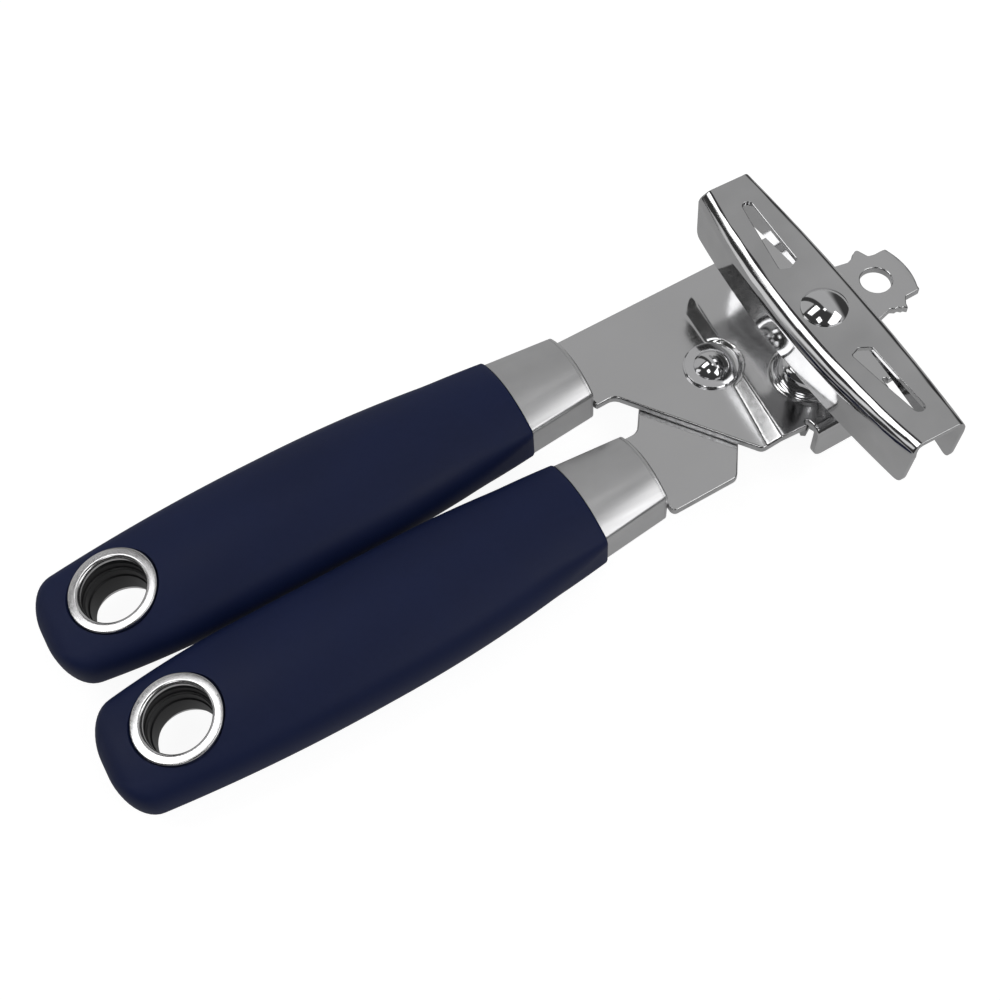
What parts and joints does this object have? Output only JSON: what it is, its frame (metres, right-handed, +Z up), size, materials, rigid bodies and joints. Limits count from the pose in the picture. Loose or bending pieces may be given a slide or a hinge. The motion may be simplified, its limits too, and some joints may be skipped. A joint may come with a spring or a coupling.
{
  "type": "manual can opener",
  "caption": "Hand-held can opener with two scissor handles, a turning key, a serrated feed wheel, a geared cutter wheel and a notched bottle-opener tip.",
  "frame": {"origin": "middle of the bounding box on the surface it lies on, handles closed, key up", "axes": "+X along the handles toward the head, +Z up from the surface to the key, +Y toward the handle of the front arm"},
  "size_m": [0.2126, 0.0846, 0.0393],
  "materials": {
    "grip": "matte, slightly soft touch",
    "core": "matte",
    "bush": "matte",
    "plate": "bright plated steel",
    "key": "bright plated steel",
    "ferrule": "brushed lengthways",
    "ring": "satin",
    "rivet": "bright plated steel",
    "gear": "plain steel",
    "wheel": "hardened steel"
  },
  "bodies": {
    "front_arm": {"front_plate": "plate", "front_grip": "grip", "front_core": "core", "front_ferrule": "ferrule", "front_hang_ring": "ring", "front_back_ring": "ring", "front_hang_bush": "bush", "pivot_rivet": "rivet", "pivot_washer": "rivet", "shaft_bushing": "rivet", "shaft_washer": "rivet", "pivot_back_washer": "rivet"},
    "rear_arm": {"rear_plate": "plate", "rear_grip": "grip", "rear_core": "core", "rear_ferrule": "ferrule", "rear_hang_ring": "ring", "rear_back_ring": "ring", "rear_hang_bush": "bush", "cutter_stud": "rivet", "cutter_washer": "rivet"},
    "key_drive": {"turning_key": "key", "drive_shaft": "rivet", "key_spacer": "rivet", "drive_gear": "gear", "gear_spacer": "rivet", "feed_wheel": "wheel"},
    "cutter": {"cutter_wheel": "wheel", "cutter_gear": "gear"}
  },
  "joints": [
    {"name": "handle_pivot", "type": "hinge", "parent": "front_arm", "child": "rear_arm", "pos_m": [0.04975, 0.0105, 0.0096], "axis": [0, 0, 1], "range_deg": [0, 38]},
    {"name": "key_spin", "type": "hinge", "parent": "front_arm", "child": "key_drive", "pos_m": [0.0667, -0.0031, 0.01265], "axis": [0, 0, 1], "continuous": true},
    {"name": "cutter_spin", "type": "hinge", "parent": "rear_arm", "child": "cutter", "pos_m": [0.06965, 0.01769, 0.00465], "axis": [0, 0, 1], "continuous": true}
  ],
  "couplings": [
    {"joint": "cutter_spin", "follows": "key_spin", "ratio": -1}
  ]
}
